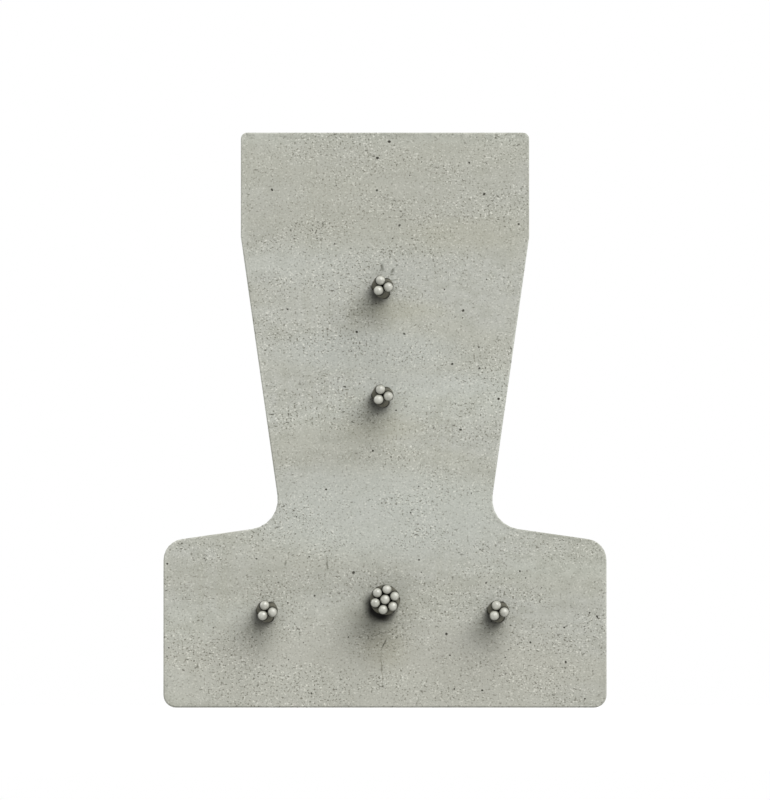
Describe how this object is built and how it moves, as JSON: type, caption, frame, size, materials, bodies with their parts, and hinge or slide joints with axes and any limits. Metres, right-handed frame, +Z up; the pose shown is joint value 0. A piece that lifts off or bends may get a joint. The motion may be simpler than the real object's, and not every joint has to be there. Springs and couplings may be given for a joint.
{
  "type": "prestressed concrete joist",
  "caption": "Inverted-T prestressed concrete floor joist with twisted wire strands standing out of both ends; floor blocks rest on its sloping seats.",
  "frame": {"origin": "middle of the underside: halfway along the joist, halfway across the heel, on the face it lies on", "axes": "+Z up, +Y along the joist, +X across it; the end shown in the picture faces -Y"},
  "size_m": [0.1046, 1.2266, 0.136],
  "materials": {
    "concrete": "cast grey concrete with fine sand, small air pits and cement streaks",
    "strand_wire": "drawn high-tensile wire, dulled by a thin film of cement"
  },
  "bodies": {
    "root": {"concrete_joist": "concrete", "top_strand_wire_1": "strand_wire", "top_strand_wire_2": "strand_wire", "top_strand_wire_3": "strand_wire", "web_strand_wire_1": "strand_wire", "web_strand_wire_2": "strand_wire", "web_strand_wire_3": "strand_wire", "left_strand_wire_1": "strand_wire", "left_strand_wire_2": "strand_wire", "left_strand_wire_3": "strand_wire", "right_strand_wire_1": "strand_wire", "right_strand_wire_2": "strand_wire", "right_strand_wire_3": "strand_wire", "main_strand_king_wire": "strand_wire", "main_strand_outer_wire_1": "strand_wire", "main_strand_outer_wire_2": "strand_wire", "main_strand_outer_wire_3": "strand_wire", "main_strand_outer_wire_4": "strand_wire", "main_strand_outer_wire_5": "strand_wire", "main_strand_outer_wire_6": "strand_wire"}
  },
  "joints": []
}
